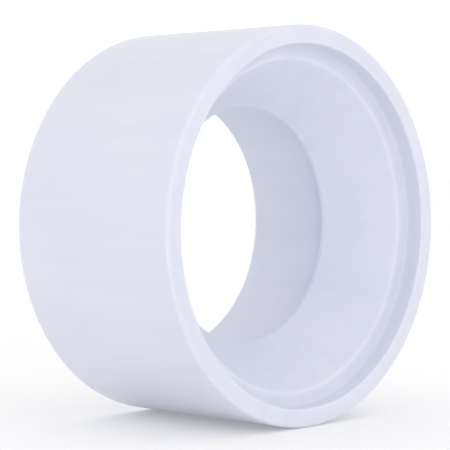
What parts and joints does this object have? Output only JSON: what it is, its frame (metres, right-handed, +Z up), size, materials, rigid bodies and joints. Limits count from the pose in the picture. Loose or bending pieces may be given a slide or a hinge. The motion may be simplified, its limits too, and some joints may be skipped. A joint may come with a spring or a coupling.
{
  "type": "reducing coupling",
  "caption": "Moulded white plastic reducing coupling of the flush bushing pattern: spigot outside, funnel mouth with a recessed rim, neck, and a smaller pipe hub inside.",
  "frame": {"origin": "middle of the bounding box, on the fitting's axis, halfway between the spigot end face and the hub end face", "axes": "+X along the fitting's axis, out of the funnel mouth at the spigot end; the hub opens at -X; +Z up; the fitting lies on its barrel"},
  "size_m": [0.0888, 0.1684, 0.1684],
  "materials": {
    "white_pvc": "smooth moulded PVC, satin"
  },
  "bodies": {
    "root": {"coupling_body": "white_pvc"}
  },
  "joints": []
}
